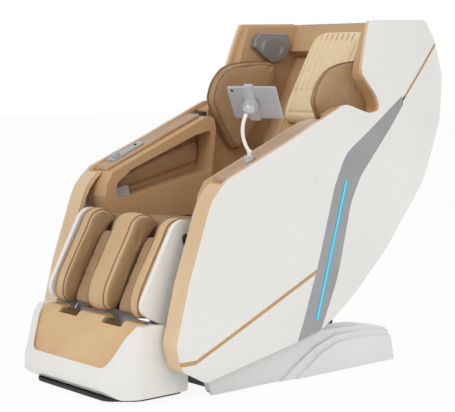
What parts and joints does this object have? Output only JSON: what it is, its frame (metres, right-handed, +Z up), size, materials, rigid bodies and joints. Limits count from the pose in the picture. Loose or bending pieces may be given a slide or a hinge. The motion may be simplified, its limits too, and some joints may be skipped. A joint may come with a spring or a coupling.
{
  "type": "massage chair",
  "caption": "Reclining massage chair with capsule side panels, quilted headrest, padded leg and foot units, arm channels and a tablet holder on a sliding base.",
  "frame": {"origin": "point on the floor midway between the side panels and midway along the chair; the tablet reaches past the left panel, so the bounding box lies 17 mm to that side of it", "axes": "+Z up, the sitter faces -Y, +X to the sitter's left"},
  "size_m": [0.7847, 1.4066, 1.1987],
  "materials": {
    "white_shell": "satin gloss",
    "white_base": "satin gloss",
    "tan_leather": "soft grain",
    "brown_leather": "soft grain",
    "cream_leather": "soft grain",
    "gold_trim": "satin metallic",
    "grey_bar": "satin metallic",
    "cyan_lens": "lit",
    "steel_frame": "satin",
    "bright_steel": "brushed",
    "rubber": "matte",
    "black_plastic": "matte",
    "silver_plastic": "satin metallic",
    "wood_top": "satin lacquer",
    "tan_moulding": "soft touch",
    "tablet_back": "satin",
    "dark_sole": "matte"
  },
  "bodies": {
    "base": {"base_shell": "white_base", "base_frame": "steel_frame", "base_feet": "rubber", "slide_rails": "bright_steel", "power_box": "black_plastic", "mains_inlet": "black_plastic"},
    "switch": {"power_switch": "black_plastic"},
    "carriage": {"slide_carriage": "steel_frame", "slide_glides": "black_plastic", "pivot_pin": "bright_steel"},
    "seat": {"main_frame": "steel_frame", "guide_tracks": "bright_steel", "left_side_panel": "white_shell", "right_side_panel": "white_shell", "lower_panels": "white_shell", "rear_panels": "white_shell", "back_cover": "white_shell", "light_bars": "grey_bar", "light_lenses": "cyan_lens", "gold_trims": "gold_trim", "edge_bands": "gold_trim", "inner_liners": "tan_moulding", "hood_crown": "tan_moulding", "speakers": "silver_plastic", "back_cushion": "tan_leather", "shoulder_pads": "brown_leather", "seat_cushion": "tan_leather", "armrests": "tan_moulding", "arm_tops": "wood_top", "arm_pads": "brown_leather", "hand_grips": "silver_plastic", "remote_pad": "silver_plastic", "air_pump": "black_plastic", "holder_socket": "silver_plastic"},
    "knob": {"remote_knob": "silver_plastic"},
    "button": {"start_button": "black_plastic"},
    "holder_arm": {"gooseneck": "white_shell"},
    "tablet_head": {"tablet_clamp": "silver_plastic", "tablet": "tablet_back"},
    "jaw": {"clamp_jaw": "silver_plastic"},
    "pillow": {"headrest_pillow": "cream_leather"},
    "calf": {"calf_frame": "steel_frame", "left_calf_cushion": "brown_leather", "middle_calf_cushion": "brown_leather", "right_calf_cushion": "brown_leather", "calf_back_pads": "brown_leather", "calf_covers": "white_shell"},
    "foot": {"foot_shell": "white_shell", "foot_apron": "cream_leather", "foot_lining": "brown_leather", "foot_sole": "dark_sole", "foot_rods": "bright_steel"},
    "recline_tube": {"recline_tube": "black_plastic"},
    "recline_rod": {"recline_rod": "bright_steel"},
    "leg_tube": {"leg_tube": "black_plastic"},
    "leg_rod": {"leg_rod": "bright_steel"},
    "massage_unit": {"massage_carriage": "black_plastic"},
    "roller_arms": {"roller_arms": "bright_steel"},
    "upper_rollers": {"upper_rollers": "black_plastic"},
    "lower_rollers": {"lower_rollers": "black_plastic"}
  },
  "joints": [
    {"name": "carriage_slide", "type": "slide", "parent": "base", "child": "carriage", "axis": [0, -1, 0], "range_m": [0, 0.12]},
    {"name": "recline", "type": "hinge", "parent": "carriage", "child": "seat", "pos_m": [0, 0.15, 0.165], "axis": [-1, 0, 0], "range_deg": [0, 30]},
    {"name": "leg_lift", "type": "hinge", "parent": "seat", "child": "calf", "pos_m": [0, -0.4, 0.5], "axis": [-1, 0, 0], "range_deg": [0, 55]},
    {"name": "foot_extend", "type": "slide", "parent": "calf", "child": "foot", "axis": [0, -0.4787, -0.878], "range_m": [0, 0.1]},
    {"name": "pillow_flip", "type": "hinge", "parent": "seat", "child": "pillow", "pos_m": [0, 0.58761, 1.15403], "axis": [-1, 0, 0], "range_deg": [0, 100]},
    {"name": "holder_swivel", "type": "hinge", "parent": "seat", "child": "holder_arm", "pos_m": [0.3216, -0.185, 0.75], "axis": [0, 0, 1], "range_deg": [-80, 80]},
    {"name": "tablet_tilt", "type": "hinge", "parent": "holder_arm", "child": "tablet_head", "pos_m": [0.3216, -0.185, 0.90251], "axis": [0.8829, 0.4695, 0], "range_deg": [-25, 25]},
    {"name": "clamp_open", "type": "slide", "parent": "tablet_head", "child": "jaw", "axis": [0.289, -0.5436, 0.788], "range_m": [0, 0.02], "stiffness_N_per_m": 200},
    {"name": "knob_turn", "type": "hinge", "parent": "seat", "child": "knob", "pos_m": [-0.3186, -0.23736, 0.71649], "axis": [0, -0.3939, 0.9191], "continuous": true},
    {"name": "start_press", "type": "slide", "parent": "seat", "child": "button", "axis": [0, 0.3939, -0.9191], "range_m": [0, 0.002], "stiffness_N_per_m": 400},
    {"name": "switch_rock", "type": "hinge", "parent": "base", "child": "switch", "pos_m": [0.03, 0.453, 0.076], "axis": [1, 0, 0], "range_deg": [-8, 8]},
    {"name": "recline_tube_swing", "type": "hinge", "parent": "carriage", "child": "recline_tube", "pos_m": [0, -0.12, 0.125], "axis": [-1, 0, 0], "range_deg": [0, 10]},
    {"name": "recline_rod_out", "type": "slide", "parent": "recline_tube", "child": "recline_rod", "axis": [0, 0.6383, 0.7698], "range_m": [0, 0.091]},
    {"name": "leg_tube_swing", "type": "hinge", "parent": "seat", "child": "leg_tube", "pos_m": [0, -0.1, 0.38], "axis": [-1, 0, 0], "range_deg": [0, 4]},
    {"name": "leg_rod_out", "type": "slide", "parent": "leg_tube", "child": "leg_rod", "axis": [0, -0.9971, 0.0763], "range_m": [0, 0.091]},
    {"name": "massage_travel", "type": "slide", "parent": "seat", "child": "massage_unit", "axis": [0, 0.4879, 0.8729], "range_m": [0, 0.36]},
    {"name": "roller_nod", "type": "hinge", "parent": "massage_unit", "child": "roller_arms", "pos_m": [0, 0.41552, 0.58578], "axis": [1, 0, 0], "range_deg": [-8, 8]},
    {"name": "upper_roller_spin", "type": "hinge", "parent": "roller_arms", "child": "upper_rollers", "pos_m": [0, 0.41996, 0.6337], "axis": [1, 0, 0], "continuous": true},
    {"name": "lower_roller_spin", "type": "hinge", "parent": "roller_arms", "child": "lower_rollers", "pos_m": [0, 0.37703, 0.55688], "axis": [1, 0, 0], "continuous": true}
  ],
  "couplings": [
    {"joint": "carriage_slide", "follows": "recline", "m_per_rad": 0.229},
    {"joint": "recline_tube_swing", "follows": "recline", "ratio": 0.3039},
    {"joint": "recline_rod_out", "follows": "recline", "m_per_rad": 0.17144},
    {"joint": "leg_tube_swing", "follows": "leg_lift", "ratio": 0.0493},
    {"joint": "leg_rod_out", "follows": "leg_lift", "m_per_rad": 0.0942}
  ]
}
